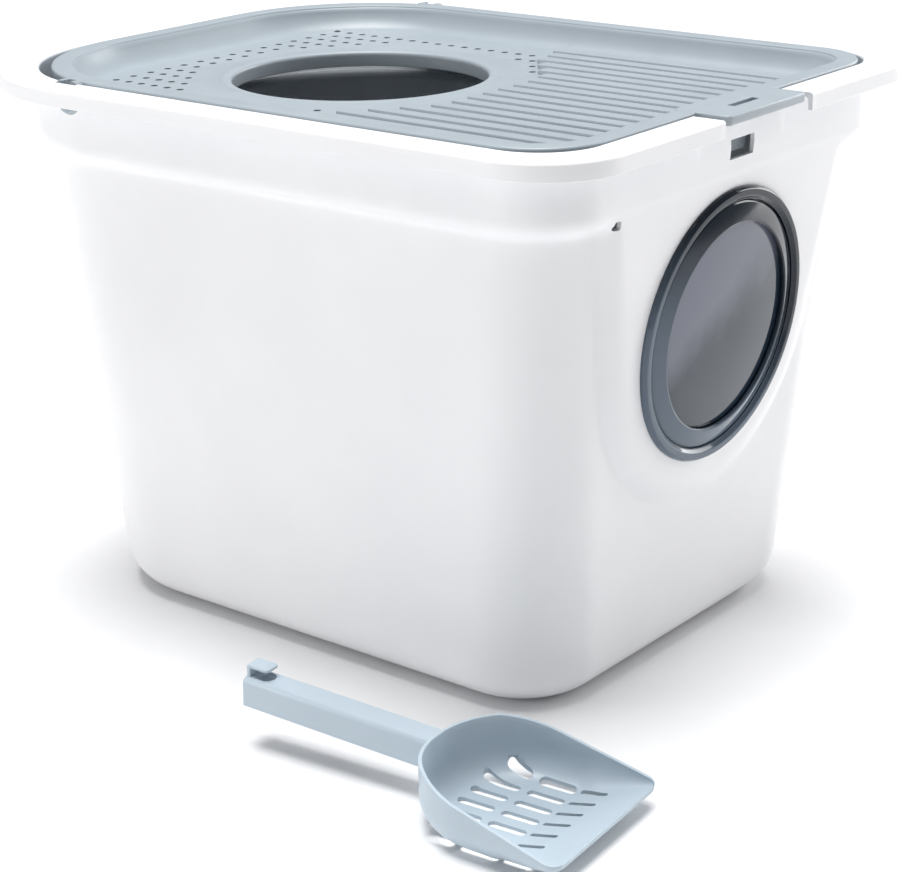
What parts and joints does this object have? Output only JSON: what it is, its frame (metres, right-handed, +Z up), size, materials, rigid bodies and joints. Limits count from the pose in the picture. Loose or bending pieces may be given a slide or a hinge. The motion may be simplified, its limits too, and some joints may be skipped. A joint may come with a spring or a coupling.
{
  "type": "cat litter box with hood",
  "caption": "Top-entry litter box: tapered tub with wide rim, pivoting perforated lid with round entry, round swing flap in front, slotted scoop.",
  "frame": {"origin": "centre of the tub's rim in plan, on the floor that the base stands on", "axes": "+Z up, -Y towards the front with the round door, X across the width"},
  "size_m": [0.5219, 0.5935, 0.3725],
  "materials": {
    "tub": "fine satin moulded polypropylene, white",
    "lid": "fine satin moulded polypropylene, pale blue-grey",
    "bezel": "high gloss blue-black",
    "pane": "smoky see-through gloss",
    "screws": "plain steel",
    "scoop": "satin moulded polypropylene, pale blue-grey"
  },
  "bodies": {
    "tub": {"tub_shell": "tub", "door_bezel": "bezel", "door_retainer": "bezel", "bezel_screws": "screws"},
    "lid": {"lid_tray": "lid"},
    "latch": {"latch_tongue": "lid"},
    "flap": {"flap_frame": "bezel", "flap_pane": "pane", "flap_axle": "screws"},
    "scoop": {"scoop": "scoop"}
  },
  "joints": [
    {"name": "lid_pivot", "type": "hinge", "parent": "tub", "child": "lid", "pos_m": [0, 0.1475, 0.363], "axis": [-1, 0, 0], "range_deg": [0, 80]},
    {"name": "latch_flex", "type": "hinge", "parent": "lid", "child": "latch", "pos_m": [0, -0.23895, 0.3644], "axis": [1, 0, 0], "range_deg": [0, 8], "stiffness_Nm_per_rad": 0.4},
    {"name": "flap_swing", "type": "hinge", "parent": "tub", "child": "flap", "pos_m": [0, -0.23072, 0.31745], "axis": [1, 0, 0], "range_deg": [0, 75]},
    {"name": "scoop_lift", "type": "slide", "parent": "tub", "child": "scoop", "axis": [0, 0, 1], "range_m": [0, 0.3]}
  ]
}
